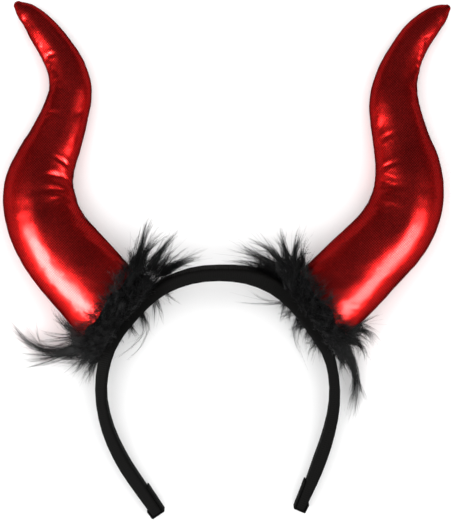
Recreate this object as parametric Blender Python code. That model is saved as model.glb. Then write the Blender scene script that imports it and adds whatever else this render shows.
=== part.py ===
"""Devil horns headband, lying on its back: a fabric-covered hoop, two stuffed foil-cloth horns, two fur collars.

X runs to the right across the hoop, Y from the hoop's open end towards the horn tips, and Z is up.
Z = 0 is the surface that it lies on, and the origin is the middle of its footprint.
"""

import math
import random
from collections import namedtuple

import bmesh
import bpy
import numpy as np

MM = 0.001
GAP = 0.3  # clearance between pieces that touch, in mm like every size below

# Hoop: its plane leans back, with the crown higher than the two ends
CROWN_Y, CROWN_Z = -6.4, 21.5
END_Y, END_Z = -132.0, 5.35
LEAN = math.atan2(CROWN_Z - END_Z, CROWN_Y - END_Y)
WIDTHWISE = np.array([0.0, -math.sin(LEAN), math.cos(LEAN)])
HOOP_CORNER = 1.5
HOOP_RINGS = 46
HoopRow = namedtuple("HoopRow", "x y thick width")
HOOP = (
    HoopRow(-36.7, -132.0, 5.6, 11.0),
    HoopRow(-44.7, -120.4, 6.4, 11.6),
    HoopRow(-55.5, -103.6, 6.5, 13.0),
    HoopRow(-62.8, -86.8, 5.9, 14.6),
    HoopRow(-65.9, -70.0, 5.5, 16.0),
    HoopRow(-64.8, -56.0, 6.3, 17.0),
    HoopRow(-59.9, -41.2, 6.9, 18.0),
    HoopRow(-49.4, -27.3, 6.9, 18.8),
    HoopRow(-35.0, -14.6, 6.1, 19.5),
    HoopRow(-18.8, -7.9, 6.4, 20.0),
    HoopRow(-2.0, -6.4, 6.4, 20.0),
    HoopRow(13.7, -8.3, 7.5, 20.0),
    HoopRow(24.9, -13.2, 7.8, 19.5),
    HoopRow(36.1, -23.4, 7.1, 18.8),
    HoopRow(45.0, -35.3, 6.8, 18.0),
    HoopRow(52.3, -48.1, 5.7, 17.0),
    HoopRow(55.5, -61.6, 5.2, 16.4),
    HoopRow(55.7, -75.0, 5.3, 15.6),
    HoopRow(53.0, -89.5, 5.8, 14.4),
    HoopRow(48.0, -105.0, 6.4, 13.0),
    HoopRow(42.1, -120.2, 5.3, 11.6),
    HoopRow(38.0, -129.6, 4.4, 11.0),
)
INSIDE_REACH = 60.0  # how far the space inside the hoop is cleared above and below its middle

# Ribbon folded over each end of the hoop, from its inner face round the tip to its outer face
TAB_THICK = 0.8
TAB_INNER_LENGTH = 15.0
TAB_OUTER_LENGTH = 4.0
TAB_MARGIN = 0.7
TAB_MITRE = 1.35

# Horns: rows run from the tip to the base, along the middle of the horn
HornRow = namedtuple("HornRow", "x y z half_width half_depth")
HORN_SIDES = 18
HORN_RINGS = 36
RINGS_TO_TIP = 1.25  # over 1 crowds the rings towards the tip
SEAM_POINT = 1.12  # over 1 draws the section out to a point at each seam
TIP_POLE = 0.7
HORN_PAST_BAND = 14.0
HORN_LEFT = (
    HornRow(-109.9, 133.8, 9.4, 2.6, 2.4),
    HornRow(-106.6, 130.9, 9.3, 5.1, 4.7),
    HornRow(-101.6, 126.6, 9.3, 6.4, 6.0),
    HornRow(-97.8, 121.9, 9.5, 7.6, 7.1),
    HornRow(-89.4, 110.1, 10.0, 8.9, 8.3),
    HornRow(-83.1, 96.9, 11.0, 10.7, 10.0),
    HornRow(-81.9, 88.3, 11.4, 11.6, 10.8),
    HornRow(-84.6, 76.8, 11.9, 12.6, 11.6),
    HornRow(-90.3, 62.3, 13.0, 14.4, 13.3),
    HornRow(-95.1, 51.2, 14.4, 16.3, 15.0),
    HornRow(-98.2, 38.7, 16.0, 18.6, 17.0),
    HornRow(-97.4, 28.4, 16.7, 19.6, 17.8),
    HornRow(-95.6, 20.7, 17.2, 20.2, 18.2),
    HornRow(-90.3, 10.3, 17.8, 20.8, 18.5),
    HornRow(-80.8, -1.6, 19.2, 21.5, 18.8),
    HornRow(-69.8, -13.8, 21.0, 22.0, 19.0),
    HornRow(-57.5, -28.2, 21.9, 22.2, 19.0),
)
HORN_RIGHT = (
    HornRow(115.2, 132.3, 9.4, 2.1, 2.0),
    HornRow(112.6, 130.5, 9.3, 4.5, 4.2),
    HornRow(107.6, 126.4, 9.3, 6.5, 6.1),
    HornRow(103.6, 122.6, 9.5, 7.5, 7.0),
    HornRow(98.4, 116.5, 9.8, 8.5, 7.9),
    HornRow(93.0, 107.0, 10.2, 9.6, 8.9),
    HornRow(88.5, 95.3, 11.1, 11.4, 10.6),
    HornRow(87.0, 84.6, 11.8, 13.0, 12.0),
    HornRow(88.3, 73.3, 12.6, 14.1, 13.0),
    HornRow(91.2, 60.2, 13.7, 15.6, 14.3),
    HornRow(93.8, 48.7, 15.2, 17.4, 16.0),
    HornRow(94.4, 38.0, 16.2, 18.6, 17.0),
    HornRow(93.4, 30.6, 16.7, 19.2, 17.5),
    HornRow(90.5, 21.9, 17.1, 19.8, 17.9),
    HornRow(84.6, 12.5, 17.7, 20.1, 18.0),
    HornRow(75.3, 2.6, 18.9, 20.5, 18.1),
    HornRow(64.0, -9.0, 20.4, 21.0, 18.3),
    HornRow(55.4, -17.3, 21.2, 21.1, 18.4),
    HornRow(42.8, -29.3, 21.9, 21.1, 18.4),
)

# Folds pressed into a horn where it bends: along is the share of its length from the tip,
# around the angle in degrees from the seam on its +X side, reach the half-length of the hollow
Fold = namedtuple("Fold", "along around depth reach")
FOLD_SPREAD = 32.0
FOLDS_LEFT = (Fold(0.30, 48, 0.8, 5.0), Fold(0.50, 50, 1.3, 6.0), Fold(0.58, 52, 1.1, 5.5))
FOLDS_RIGHT = (Fold(0.34, 138, 0.8, 5.0), Fold(0.50, 128, 1.2, 6.0), Fold(0.60, 130, 1.0, 5.5))

# Collars: a dense backing of fur round each horn's base, thickest at its middle
COLLAR_BELOW_BASE = 8.0
REACH_LEFT, REACH_RIGHT = 10.0, 14.0  # how far a collar goes up its horn from the last row
COLLAR_RINGS = 6
COLLAR_EDGE = 4.8
COLLAR_MIDDLE = 7.0

# Locks: long ones where the photo shows them, and a fringe of short ones all round
LOCK_SIDES = 5
LOCK_STEPS = 4
LOCK_LOWEST = 1.3  # lowest middle of a lock
LOCK_FLOOR = 0.2  # lowest of its surface
LOCK_LAST_RING = 0.93
LOCK_TIP = 0.16  # share of its root's radius that a lock keeps at its tip
Lock = namedtuple("Lock", "root_x root_y root_z bend_x bend_y bend_z tip_x tip_y tip_z radius")
LOCKS_LEFT = (
    Lock(-45, -10, 28, -50, 3, 30, -41.5, 20, 24, 4.0),
    Lock(-43, -12, 22, -44, 0, 24, -36, 10, 25, 3.8),
    Lock(-40, -13, 28, -38, 0, 29, -27, 14, 21, 3.4),
    Lock(-38, -14, 22, -28, -4, 28, -14, 3, 22, 3.2),
    Lock(-37, -12, 19, -26, -2.5, 19, -8, 0.5, 20, 3.6),
    Lock(-75, -45, 14, -99, -58, 8, -117, -36.5, 4, 3.4),
    Lock(-73, -46, 10, -84, -52, 7, -96, -49, 4, 3.6),
    Lock(-71, -47, 16, -74, -55, 12, -77, -60, 6, 3.6),
    Lock(-68, -48, 22, -70, -56, 20, -74, -63, 14, 3.0),
    Lock(-76, -42, 24, -83, -38, 24, -86, -28, 18, 3.0),
    Lock(-56, -26, 1.5, -49, -30, 3.5, -43, -35, 5, 1.9),
    Lock(-61, -34, 1.5, -55, -37, 3.5, -50, -42, 5, 1.9),
)
LOCKS_RIGHT = (
    Lock(29, -8, 28, 30, 4, 29, 38, 12, 24, 3.6),
    Lock(27, -10, 22, 24, 2, 24, 27, 10, 24, 3.8),
    Lock(27, -10, 28, 21, 0, 30, 19, 11, 22, 3.4),
    Lock(26, -11, 24, 14, -1, 30, 3, 8, 22, 3.2),
    Lock(28, -9, 19, 19, -1.5, 19, 3, 0.5, 20, 3.6),
    Lock(59, -45, 16, 72, -49, 14, 75, -37, 12, 3.4),
    Lock(61, -46, 12, 72, -62, 7, 66, -84, 4, 4.0),
    Lock(57, -47, 20, 60, -55, 20, 63, -62, 16, 3.4),
    Lock(62, -43, 26, 70, -40, 26, 72, -33, 22, 3.2),
    Lock(44, -23, 1.5, 38, -29, 3.5, 35, -34, 5, 1.9),
    Lock(50, -31, 1.5, 43, -35, 3.5, 39, -41, 5, 2.4),
    Lock(54, -38, 1.5, 49, -43, 3.5, 45, -48, 5, 1.9),
)
FRINGE_LOCKS = 24
FRINGE_ARC = (-48.0, 228.0)  # angles that it spans, in degrees: under the horn the pile is crushed flat
FRINGE_STRAY = 3.5
FRINGE_LENGTH = 11.5
FRINGE_RADIUS = 3.2
FRINGE_ROOT = 2.6  # how far outside the horn's surface a short lock starts
FRINGE_BELT = (0.1, 0.8)  # shares of the collar's reach between which the short locks start
FRINGE_RISE = (0.15, 0.95)  # how far a short lock leans up the horn, as a share of its length
FRINGE_SWEEP = 0.45  # how far it may lean to either side

# Finishes: name, colour, roughness and metallic
BLACK_RIBBON = ("black_ribbon", (0.012, 0.011, 0.012), 0.85, 0.0)
RED_FOIL = ("red_foil_cloth", (0.36, 0.006, 0.008), 0.38, 0.75)
BLACK_FUR = ("black_fur", (0.006, 0.006, 0.007), 0.7, 0.0)
SHARP_ANGLE = math.radians(40)


def clear_scene():
    for obj in list(bpy.data.objects):
        bpy.data.objects.remove(obj, do_unlink=True)


def material(name, colour, roughness, metallic):
    made = bpy.data.materials.new(name)
    made.use_nodes = True
    shader = made.node_tree.nodes["Principled BSDF"]
    shader.inputs["Base Color"].default_value = (*colour, 1)
    shader.inputs["Roughness"].default_value = roughness
    shader.inputs["Metallic"].default_value = metallic
    return made


def loft(name, rings, collection, surface=None, pole=0.0):
    """A closed body through rings of equal count, with flat ends, or with the first end drawn out to a pole."""
    mesh = bmesh.new()
    loops = [[mesh.verts.new(point * MM) for point in ring] for ring in rings]
    count = len(loops[0])
    for near, far in zip(loops, loops[1:]):
        for k in range(count):
            mesh.faces.new((near[k], near[(k + 1) % count], far[(k + 1) % count], far[k]))
    mesh.faces.new(loops[-1])
    if pole:
        middle, second = np.mean(rings[0], axis=0), np.mean(rings[1], axis=0)
        tip = mesh.verts.new((middle + unit(middle - second) * pole) * MM)
        for k in range(count):
            mesh.faces.new((loops[0][k], tip, loops[0][(k + 1) % count]))
    else:
        mesh.faces.new(loops[0])
    bmesh.ops.recalc_face_normals(mesh, faces=mesh.faces)
    bmesh.ops.triangulate(mesh, faces=mesh.faces)
    data = bpy.data.meshes.new(name)
    mesh.to_mesh(data)
    mesh.free()
    if surface:
        data.materials.append(surface)
        data.shade_smooth()
        data.set_sharp_from_angle(angle=SHARP_ANGLE)
    made = bpy.data.objects.new(name, data)
    collection.objects.link(made)
    return made


def unit(vector):
    return vector / np.linalg.norm(vector)


def along_rows(rows):
    """The distance of each row from the first, in plan."""
    table = np.array(rows, float)
    steps = np.linalg.norm(np.diff(table[:, :2], axis=0), axis=1)
    return np.concatenate([[0.0], np.cumsum(steps)])


def read_rows(rows, places):
    """Every column of the rows at these distances, on a smooth curve through the rows."""
    table = np.array(rows, float)
    knots = along_rows(rows)
    slopes = np.gradient(table, knots, axis=0)
    before = np.clip(np.searchsorted(knots, places, side="right") - 1, 0, len(knots) - 2)
    span = (knots[before + 1] - knots[before])[:, None]
    t = (places - knots[before])[:, None] / span
    return (
        (2 * t**3 - 3 * t**2 + 1) * table[before]
        + (t**3 - 2 * t**2 + t) * span * slopes[before]
        + (3 * t**2 - 2 * t**3) * table[before + 1]
        + (t**3 - t**2) * span * slopes[before + 1]
    )


def read_row(rows, place):
    """The row at this distance, and the unit direction of travel there, in plan."""
    last = along_rows(rows)[-1]
    near, here, far = read_rows(rows, np.clip([place - 0.5, place, place + 0.5], 0.0, last))
    return here, unit(far[:2] - near[:2])


def on_floor(ring, lowest=0.0):
    """The ring with nothing under the surface that the headband lies on."""
    return [np.array([x, y, max(z, lowest)]) for x, y, z in ring]


def rounded_section(half_thick, half_width, corner):
    """A rectangle with three points on each rounded corner."""
    points = []
    for turn, (across, wide) in enumerate(((1, 1), (-1, 1), (-1, -1), (1, -1))):
        for step in (0, 45, 90):
            angle = math.radians(90 * turn + step)
            u = across * (half_thick - corner) + corner * math.cos(angle)
            v = wide * (half_width - corner) + corner * math.sin(angle)
            points.append((u, v))
    return points


def hoop_at(place):
    """The hoop's middle, its outward and onward directions, its thickness and width at this distance."""
    (x, y, thick, width), travel = read_row(HOOP, place)
    middle = np.array([x, y, END_Z + (y - END_Y) * math.tan(LEAN)])
    onward = unit(np.array([travel[0], travel[1], travel[1] * math.tan(LEAN)]))
    return middle, np.cross(WIDTHWISE, onward), onward, thick, width


def hoop_rings(grow=0.0):
    rings = []
    for place in np.linspace(0, along_rows(HOOP)[-1], HOOP_RINGS):
        middle, outward, _, thick, width = hoop_at(place)
        section = rounded_section(thick / 2 + grow, width / 2 + grow, HOOP_CORNER)
        rings.append([middle + outward * u + WIDTHWISE * v for u, v in section])
    return rings if grow else [on_floor(ring) for ring in rings]


def inside_of_hoop():
    """Two outlines of all that the hoop's outer face surrounds, grown by the gap, below and above it."""
    outlines = [[], []]
    for place in np.linspace(0, along_rows(HOOP)[-1], HOOP_RINGS):
        middle, outward, _, thick, _ = hoop_at(place)
        edge = middle + outward * (thick / 2 + GAP)
        for outline, height in zip(outlines, (-INSIDE_REACH, INSIDE_REACH)):
            outline.append(edge + WIDTHWISE * height)
    return outlines


def tab_rings(at_right_end):
    """The ribbon folded over one end of the hoop, from its inner face round the tip to its outer face."""
    length = along_rows(HOOP)[-1]
    stations = [(-1, place) for place in np.linspace(TAB_INNER_LENGTH, 0, 5)]
    stations += [(1, place) for place in np.linspace(0, TAB_OUTER_LENGTH, 3)]
    lift = GAP + TAB_THICK / 2
    rings = []
    for side, place in stations:
        middle, outward, onward, thick, width = hoop_at(length - place if at_right_end else place)
        lean, reach = outward * side, TAB_THICK / 2
        centre = middle + lean * (thick / 2 + lift)
        if place == 0:
            tipward = onward if at_right_end else -onward
            centre += tipward * lift
            lean, reach = unit(lean + tipward), reach * TAB_MITRE
        half_width = width / 2 - TAB_MARGIN
        corners = ((-1, -1), (1, -1), (1, 1), (-1, 1))
        rings.append([centre + lean * reach * u + WIDTHWISE * half_width * v for u, v in corners])
    return [on_floor(ring) for ring in rings]


def horn_rows(rows):
    """The rows of a horn, and one more that carries its axis on through the band."""
    last, before = rows[-1], rows[-2]
    step = unit(np.array([last.x - before.x, last.y - before.y])) * HORN_PAST_BAND
    return (*rows, last._replace(x=last.x + step[0], y=last.y + step[1]))


def fold_depth(folds, along, angle):
    """How far the folds press the surface in at this share of the horn's length, and at this angle round it."""
    total = 0.0
    for fold in folds:
        off_along = (along - fold.along) / fold.reach
        off_around = (math.degrees(angle) - fold.around) / FOLD_SPREAD
        total += fold.depth * math.exp(-(off_along**2) - off_around**2)
    return total


def horn_ring(row, travel, grow=0.0, along=0.0, folds=()):
    """One section of a horn: a lens whose two points are the seams, across the direction of travel."""
    x, y, z, half_width, half_depth = row
    side = np.array([-travel[1], travel[0], 0.0])
    if side[0] < 0:
        side = -side
    ring = []
    for k in range(HORN_SIDES):
        angle = 2 * math.pi * k / HORN_SIDES
        press = grow - fold_depth(folds, along, angle)
        rise = math.copysign(abs(math.sin(angle)) ** SEAM_POINT, math.sin(angle))
        across = side * (half_width + press) * math.cos(angle)
        ring.append(np.array([x, y, z + (half_depth + press) * rise]) + across)
    return ring


def horn_rings(rows, folds=(), grow=0.0):
    """Sections of a horn, closer together at its tip, where it narrows fast."""
    rows = horn_rows(rows)
    length = along_rows(rows)[-1]
    scaled = [fold._replace(reach=fold.reach / length) for fold in folds]
    rings = []
    for along in np.linspace(0, 1, HORN_RINGS) ** RINGS_TO_TIP:
        row, travel = read_row(rows, length * along)
        rings.append(horn_ring(row, travel, grow, along, scaled))
    return rings if grow else [on_floor(ring) for ring in rings]


def cut(target, tool, operation="DIFFERENCE"):
    """The target as a plain mesh, after one Boolean step with the tool."""
    step = target.modifiers.new("cut", "BOOLEAN")
    step.operation = operation
    step.solver = "EXACT"
    step.object = tool
    graph = bpy.context.evaluated_depsgraph_get()
    done = bpy.data.meshes.new_from_object(target.evaluated_get(graph))
    target.modifiers.remove(step)
    old, target.data = target.data, done
    bpy.data.meshes.remove(old)


def curve_point(lock, t):
    """The middle of a lock at t, from its root at 0 to its tip at 1."""
    root = np.array([lock.root_x, lock.root_y, lock.root_z], float)
    bend = np.array([lock.bend_x, lock.bend_y, lock.bend_z], float)
    tip = np.array([lock.tip_x, lock.tip_y, lock.tip_z], float)
    point = (1 - t) ** 2 * root + 2 * t * (1 - t) * bend + t**2 * tip
    point[2] = max(point[2], LOCK_LOWEST)
    return point


def lock_rings(lock):
    """Tapered sections from tip to root, so that the pole is the lock's tip."""
    rings = []
    for step in range(LOCK_STEPS + 1):
        t = LOCK_LAST_RING * (1 - step / LOCK_STEPS)
        middle = curve_point(lock, t)
        travel = unit(curve_point(lock, t + 0.05) - middle)
        side = unit(np.cross(travel, (0.0, 0.0, 1.0)))
        up = np.cross(side, travel)
        radius = lock.radius * (LOCK_TIP + (1 - LOCK_TIP) * (1 - t) ** 0.8)
        ring = []
        for k in range(LOCK_SIDES):
            angle = 2 * math.pi * k / LOCK_SIDES
            ring.append(middle + (side * math.cos(angle) + up * math.sin(angle)) * radius)
        rings.append(on_floor(ring, LOCK_FLOOR))
    return rings


def fringe(rows, reach_up, seed):
    """Short locks over the top and sides of the collar, leaning outwards, up the horn and to either side."""
    rng = random.Random(seed)
    length = along_rows(rows)[-1]
    locks = []
    for degrees in np.linspace(*FRINGE_ARC, FRINGE_LOCKS):
        angle = math.radians(degrees + rng.uniform(-FRINGE_STRAY, FRINGE_STRAY))
        place = length - reach_up * rng.uniform(*FRINGE_BELT)
        (x, y, z, half_width, half_depth), travel = read_row(rows, place)
        side, up = np.array([-travel[1], travel[0], 0.0]), np.array([0.0, 0.0, 1.0])
        up_horn = -np.array([travel[0], travel[1], 0.0])
        outward = side * math.cos(angle) + up * math.sin(angle)
        round_horn = up * math.cos(angle) - side * math.sin(angle)
        root = np.array([x, y, z]) + side * (half_width + FRINGE_ROOT) * math.cos(angle)
        root += up * (half_depth + FRINGE_ROOT) * math.sin(angle)
        reach = FRINGE_LENGTH * rng.uniform(0.8, 1.25)
        lean = up_horn * rng.uniform(*FRINGE_RISE) + round_horn * rng.uniform(-FRINGE_SWEEP, FRINGE_SWEEP)
        bend = root + (0.62 * outward + 0.3 * lean) * reach
        tip = root + (0.85 * outward + lean) * reach
        locks.append(Lock(*root, *bend, *tip, FRINGE_RADIUS * rng.uniform(0.85, 1.15)))
    return locks


def collar_rings(rows, reach_up):
    """The dense backing, from just inside the hoop's outer face to where it thins out up the horn."""
    base = along_rows(rows)[-1]
    rings = []
    for share in np.linspace(0, 1, COLLAR_RINGS):
        place = base - reach_up + share * (reach_up + COLLAR_BELOW_BASE)
        row, travel = read_row(horn_rows(rows), place)
        pile = COLLAR_EDGE + (COLLAR_MIDDLE - COLLAR_EDGE) * math.sin(math.pi * share)
        rings.append(on_floor(horn_ring(row, travel, pile)))
    return rings


def keep_largest_body(target):
    """Drops the scraps that a cut leaves beside the main body."""
    mesh = bmesh.new()
    mesh.from_mesh(target.data)
    left, bodies = set(mesh.verts), []
    while left:
        body, queue = set(), [left.pop()]
        while queue:
            vert = queue.pop()
            body.add(vert)
            near = {edge.other_vert(vert) for edge in vert.link_edges} & left
            left -= near
            queue.extend(near)
        bodies.append(body)
    largest = max(bodies, key=len)
    scraps = [vert for body in bodies if body is not largest for vert in body]
    bmesh.ops.delete(mesh, geom=scraps, context="VERTS")
    mesh.to_mesh(target.data)
    mesh.free()


class Headband:
    """The collection of the headband's pieces, the one of its cutters, and what the pieces share."""

    def __init__(self):
        self.pieces = bpy.data.collections.new("devil_horns_headband")
        self.helpers = bpy.data.collections.new("cutters")
        for collection in (self.pieces, self.helpers):
            bpy.context.scene.collection.children.link(collection)
        self.ribbon = material(*BLACK_RIBBON)
        self.foil = material(*RED_FOIL)
        self.fur = material(*BLACK_FUR)
        self.inside = self.cutter("inside_of_hoop", inside_of_hoop())
        self.hoop_space = self.cutter("hoop_space", hoop_rings(GAP))

    def cutter(self, name, rings, pole=0.0):
        made = loft(name, rings, self.helpers, pole=pole)
        made.hide_render = True
        made.display_type = "WIRE"
        return made

    def hoop(self):
        loft("hoop", hoop_rings(), self.pieces, self.ribbon)
        for name, at_right_end in (("end_tab_left", False), ("end_tab_right", True)):
            loft(name, tab_rings(at_right_end), self.pieces, self.ribbon)

    def horn(self, name, rows, folds):
        """A stuffed horn, whose base follows the hoop's outer face."""
        made = loft(name, horn_rings(rows, folds), self.pieces, self.foil, rows[0].half_width * TIP_POLE)
        cut(made, self.inside)

    def collar(self, name, rows, locks, reach_up, seed):
        """The backing and its locks made one body, then cleared of the horn and the hoop that it surrounds."""
        made = loft(name, collar_rings(rows, reach_up), self.pieces, self.fur)
        cut(made, self.inside)
        for lock in (*locks, *fringe(rows, reach_up, seed)):
            tuft = self.cutter(name + "_lock", lock_rings(lock), pole=lock.radius / 2)
            cut(made, tuft, "UNION")
            bpy.data.objects.remove(tuft)
        cut(made, self.cutter(name + "_horn_space", horn_rings(rows, grow=GAP), pole=rows[0].half_width))
        cut(made, self.hoop_space)
        keep_largest_body(made)


clear_scene()
headband = Headband()
headband.hoop()
headband.horn("horn_left", HORN_LEFT, FOLDS_LEFT)
headband.horn("horn_right", HORN_RIGHT, FOLDS_RIGHT)
headband.collar("fur_left", HORN_LEFT, LOCKS_LEFT, REACH_LEFT, seed=3)
headband.collar("fur_right", HORN_RIGHT, LOCKS_RIGHT, REACH_RIGHT, seed=8)
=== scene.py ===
# %% [markdown]
# # Devil horns headband
# The headband lies on its back on a pale floor: a hoop covered in ribbed black ribbon, two stuffed
# horns of red metallic cloth, and two collars of black fur that hide where the horns are sewn on.
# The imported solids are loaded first. They are the frame: the horns, the hoop, the ribbon's ends and the
# underfur are measured from them. Only the middle lines of the horns and the hoop, the creases and the
# loose tufts are given below as points.

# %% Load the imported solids
import math
import random

import bmesh
import bpy
import numpy as np
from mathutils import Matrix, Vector, noise
from mathutils.bvhtree import BVHTree


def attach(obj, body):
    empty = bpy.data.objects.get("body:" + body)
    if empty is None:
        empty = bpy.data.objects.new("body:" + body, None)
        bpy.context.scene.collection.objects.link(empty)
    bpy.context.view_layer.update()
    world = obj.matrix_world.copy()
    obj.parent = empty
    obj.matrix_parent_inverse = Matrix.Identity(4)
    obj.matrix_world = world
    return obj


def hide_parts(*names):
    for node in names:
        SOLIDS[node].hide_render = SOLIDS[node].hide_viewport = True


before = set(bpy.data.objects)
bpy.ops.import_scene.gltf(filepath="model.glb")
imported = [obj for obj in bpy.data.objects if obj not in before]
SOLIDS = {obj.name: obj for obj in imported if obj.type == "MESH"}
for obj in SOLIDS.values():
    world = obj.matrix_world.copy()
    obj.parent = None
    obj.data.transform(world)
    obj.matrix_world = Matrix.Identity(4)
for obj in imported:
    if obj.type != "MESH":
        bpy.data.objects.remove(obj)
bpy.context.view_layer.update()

MM = 0.001
print("solids:", ", ".join(sorted(SOLIDS)))


def placed(name, data):
    """A new object in the scene that holds this data."""
    made = bpy.data.objects.new(name, data)
    bpy.context.scene.collection.objects.link(made)
    return made


# %% [markdown]
# ## Camera and light
# A headband that lies on a table is photographed from straight above, from far enough away that the
# picture has almost no perspective. One pixel of the picture is then a fixed size on the table, and the
# lens follows from the height of the camera.

# %% Camera
PICTURE_HIGH = 520
PIXEL = 0.5224 * MM
CAMERA_HEIGHT = 1.5
SUBJECT_HEIGHT = 12 * MM
SENSOR = 36.0
CAMERA_MIDDLE = (-1.05 * MM, 0.26 * MM)

camera_data = bpy.data.cameras.new("camera")
camera_data.sensor_width = SENSOR
camera_data.lens = SENSOR * (CAMERA_HEIGHT - SUBJECT_HEIGHT) / (PICTURE_HIGH * PIXEL)
camera = placed("camera", camera_data)
camera.location = (*CAMERA_MIDDLE, CAMERA_HEIGHT)
bpy.context.scene.camera = camera
print(f"lens {camera_data.lens:.0f} mm")

# %% [markdown]
# Metallic cloth shows what is around it, so the lights are also what is seen in the horns. Two softboxes
# stand low on either side and are seen only in reflections: they draw the bright streaks along the horns'
# outer sides, and cast no shadow. The left one is stronger, because the left horn has the whiter streak.
# Above there is only a dim grey sky, which keeps the middle of each horn a deep red. A very wide overhead
# light whitens the floor almost without shadow, and is left out of reflections.

# %% Lights
def softbox(name, direction, elevation, distance, size, power, in_reflections):
    """A rectangular light that points at the headband, from a direction on the floor and an elevation."""
    data = bpy.data.lights.new(name, "AREA")
    data.shape = "RECTANGLE"
    data.size, data.size_y = size
    data.energy = power
    made = placed(name, data)
    turn, rise = math.radians(direction), math.radians(elevation)
    towards = Vector((math.cos(turn) * math.cos(rise), math.sin(turn) * math.cos(rise), math.sin(rise)))
    made.location = towards * distance
    made.rotation_euler = towards.to_track_quat("Z", "Y").to_euler()
    made.visible_camera = False
    made.visible_glossy, made.visible_diffuse = in_reflections, not in_reflections


SKY_LIGHT = 0.36
SOFTBOX_SIZE = (0.24, 0.21)
SOFTBOX_RISE, SOFTBOX_AWAY = 34, 0.42
LEFT_POWER, RIGHT_POWER = 13.5, 7.0
OVERHEAD_SIZE = (4.0, 4.0)
OVERHEAD_AWAY, OVERHEAD_POWER = 1.5, 92
softbox("left_softbox", 206, SOFTBOX_RISE, SOFTBOX_AWAY, SOFTBOX_SIZE, LEFT_POWER, in_reflections=True)
softbox("right_softbox", -26, SOFTBOX_RISE, SOFTBOX_AWAY, SOFTBOX_SIZE, RIGHT_POWER, in_reflections=True)
softbox("overhead_light", 90, 88, OVERHEAD_AWAY, OVERHEAD_SIZE, OVERHEAD_POWER, in_reflections=False)

world = bpy.data.worlds.new("studio")
world.use_nodes = True
sky = world.node_tree.nodes["Background"].inputs
sky["Color"].default_value = (1, 1, 1, 1)
sky["Strength"].default_value = SKY_LIGHT
bpy.context.scene.world = world
bpy.context.scene.view_settings.view_transform = "Standard"

# %% [markdown]
# ## Two small helpers for nodes
# Shader and geometry trees are both drawn with nodes. Long chains of Math nodes are hard to read, so a
# socket is wrapped in a class whose operators add the nodes: `1 - mask` then reads as it does on paper.
# Every other node comes from one method, which takes its settings first and then what its sockets hold.

# %% Node helpers
class Value:
    """One output of a node. An operator on it adds a Math node to the same tree."""

    def __init__(self, nodes, socket):
        self.nodes, self.socket = nodes, socket

    def maths(self, operation, *operands):
        return self.nodes.node("ShaderNodeMath", {"operation": operation}, dict(enumerate(operands)))

    def __add__(self, other):
        return self.maths("ADD", self, other)

    __radd__ = __add__

    def __sub__(self, other):
        return self.maths("SUBTRACT", self, other)

    def __rsub__(self, other):
        return self.maths("SUBTRACT", other, self)

    def __mul__(self, other):
        return self.maths("MULTIPLY", self, other)

    __rmul__ = __mul__

    def __pow__(self, other):
        return self.maths("POWER", self, other)

    def sine(self):
        return self.maths("SINE", self)

    def size(self):
        return self.maths("ABSOLUTE", self)

    def clamped(self):
        return self.maths("MINIMUM", self.nodes.larger(self, 0.0), 1.0)


class Nodes:
    """A node tree, with one method that adds any node."""

    def __init__(self, tree):
        self.tree = tree

    def feed(self, socket, value):
        if isinstance(value, Value):
            self.tree.links.new(value.socket, socket)
        else:
            socket.default_value = value

    def node(self, kind, settings=(), inputs=(), output=0):
        made = self.tree.nodes.new(kind)
        for name, value in dict(settings).items():
            if name == "stops":
                for element, (place, colour) in zip(made.color_ramp.elements, value):
                    element.position, element.color = place, colour
            else:
                setattr(made, name, value)
        for name, value in dict(inputs).items():
            self.feed(made.inputs[name], value)
        return Value(self, made.outputs[output])

    def larger(self, one, other):
        return one.maths("MAXIMUM", one, other)


class Finish(Nodes):
    """A material with a Principled shader, whose steady values are set on its own sockets."""

    def __init__(self, name, steady):
        self.material = bpy.data.materials.new(name)
        self.material.use_nodes = True
        super().__init__(self.material.node_tree)
        self.shader = self.tree.nodes["Principled BSDF"]
        for socket, value in steady.items():
            self.shader.inputs[socket].default_value = value

    def place(self):
        """Where a point is on the object, in metres."""
        return self.node("ShaderNodeTexCoord", output="Object")

    def cloudy(self, scale, detail=2.0, rough=0.5, where=None):
        """Soft noise from 0 to 1, with about `scale` clouds to a metre."""
        inputs = {"Vector": where or self.place(), "Scale": scale, "Detail": detail, "Roughness": rough}
        return self.node("ShaderNodeTexNoise", {}, inputs)

    def tint(self, mask, low, high):
        """A colour between two, by a mask."""
        inputs = {0: mask, 6: (*low, 1), 7: (*high, 1)}
        return self.node("ShaderNodeMix", {"data_type": "RGBA"}, inputs, output=2)

    def relief(self, height, strength, distance):
        """Bumps of a height from 0 to 1, `distance` metres deep, on the shader's Normal."""
        inputs = {"Height": height, "Strength": strength, "Distance": distance}
        self.feed(self.shader.inputs["Normal"], self.node("ShaderNodeBump", {}, inputs))

    def give(self, **varying):
        for name, value in varying.items():
            self.feed(self.shader.inputs[name.replace("_", " ")], value)


# %% [markdown]
# ## The floor
# A plain pale sheet, wide enough for every view.

# %% Floor
FLOOR_HALF = 4.0
FLOOR_DROP = 0.3 * MM

floor_finish = Finish("pale_floor", {"Roughness": 0.9, "Specular IOR Level": 0.1})
floor_grain = floor_finish.cloudy(40)
floor_finish.give(Base_Color=floor_finish.tint(floor_grain, (0.86, 0.86, 0.86), (0.9, 0.9, 0.9)))
floor_mesh = bpy.data.meshes.new("floor")
corners = [(x * FLOOR_HALF, y * FLOOR_HALF, -FLOOR_DROP) for x, y in ((-1, -1), (1, -1), (1, 1), (-1, 1))]
floor_mesh.from_pydata(corners, [], [(0, 1, 2, 3)])
floor_mesh.materials.append(floor_finish.material)
floor = placed("floor", floor_mesh)

# %% [markdown]
# ## Reading the solids
# Each solid is turned into a search tree. A ray from the middle of a horn or of the hoop then tells how
# far its surface is, and the finer pieces are built on those distances.

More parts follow.
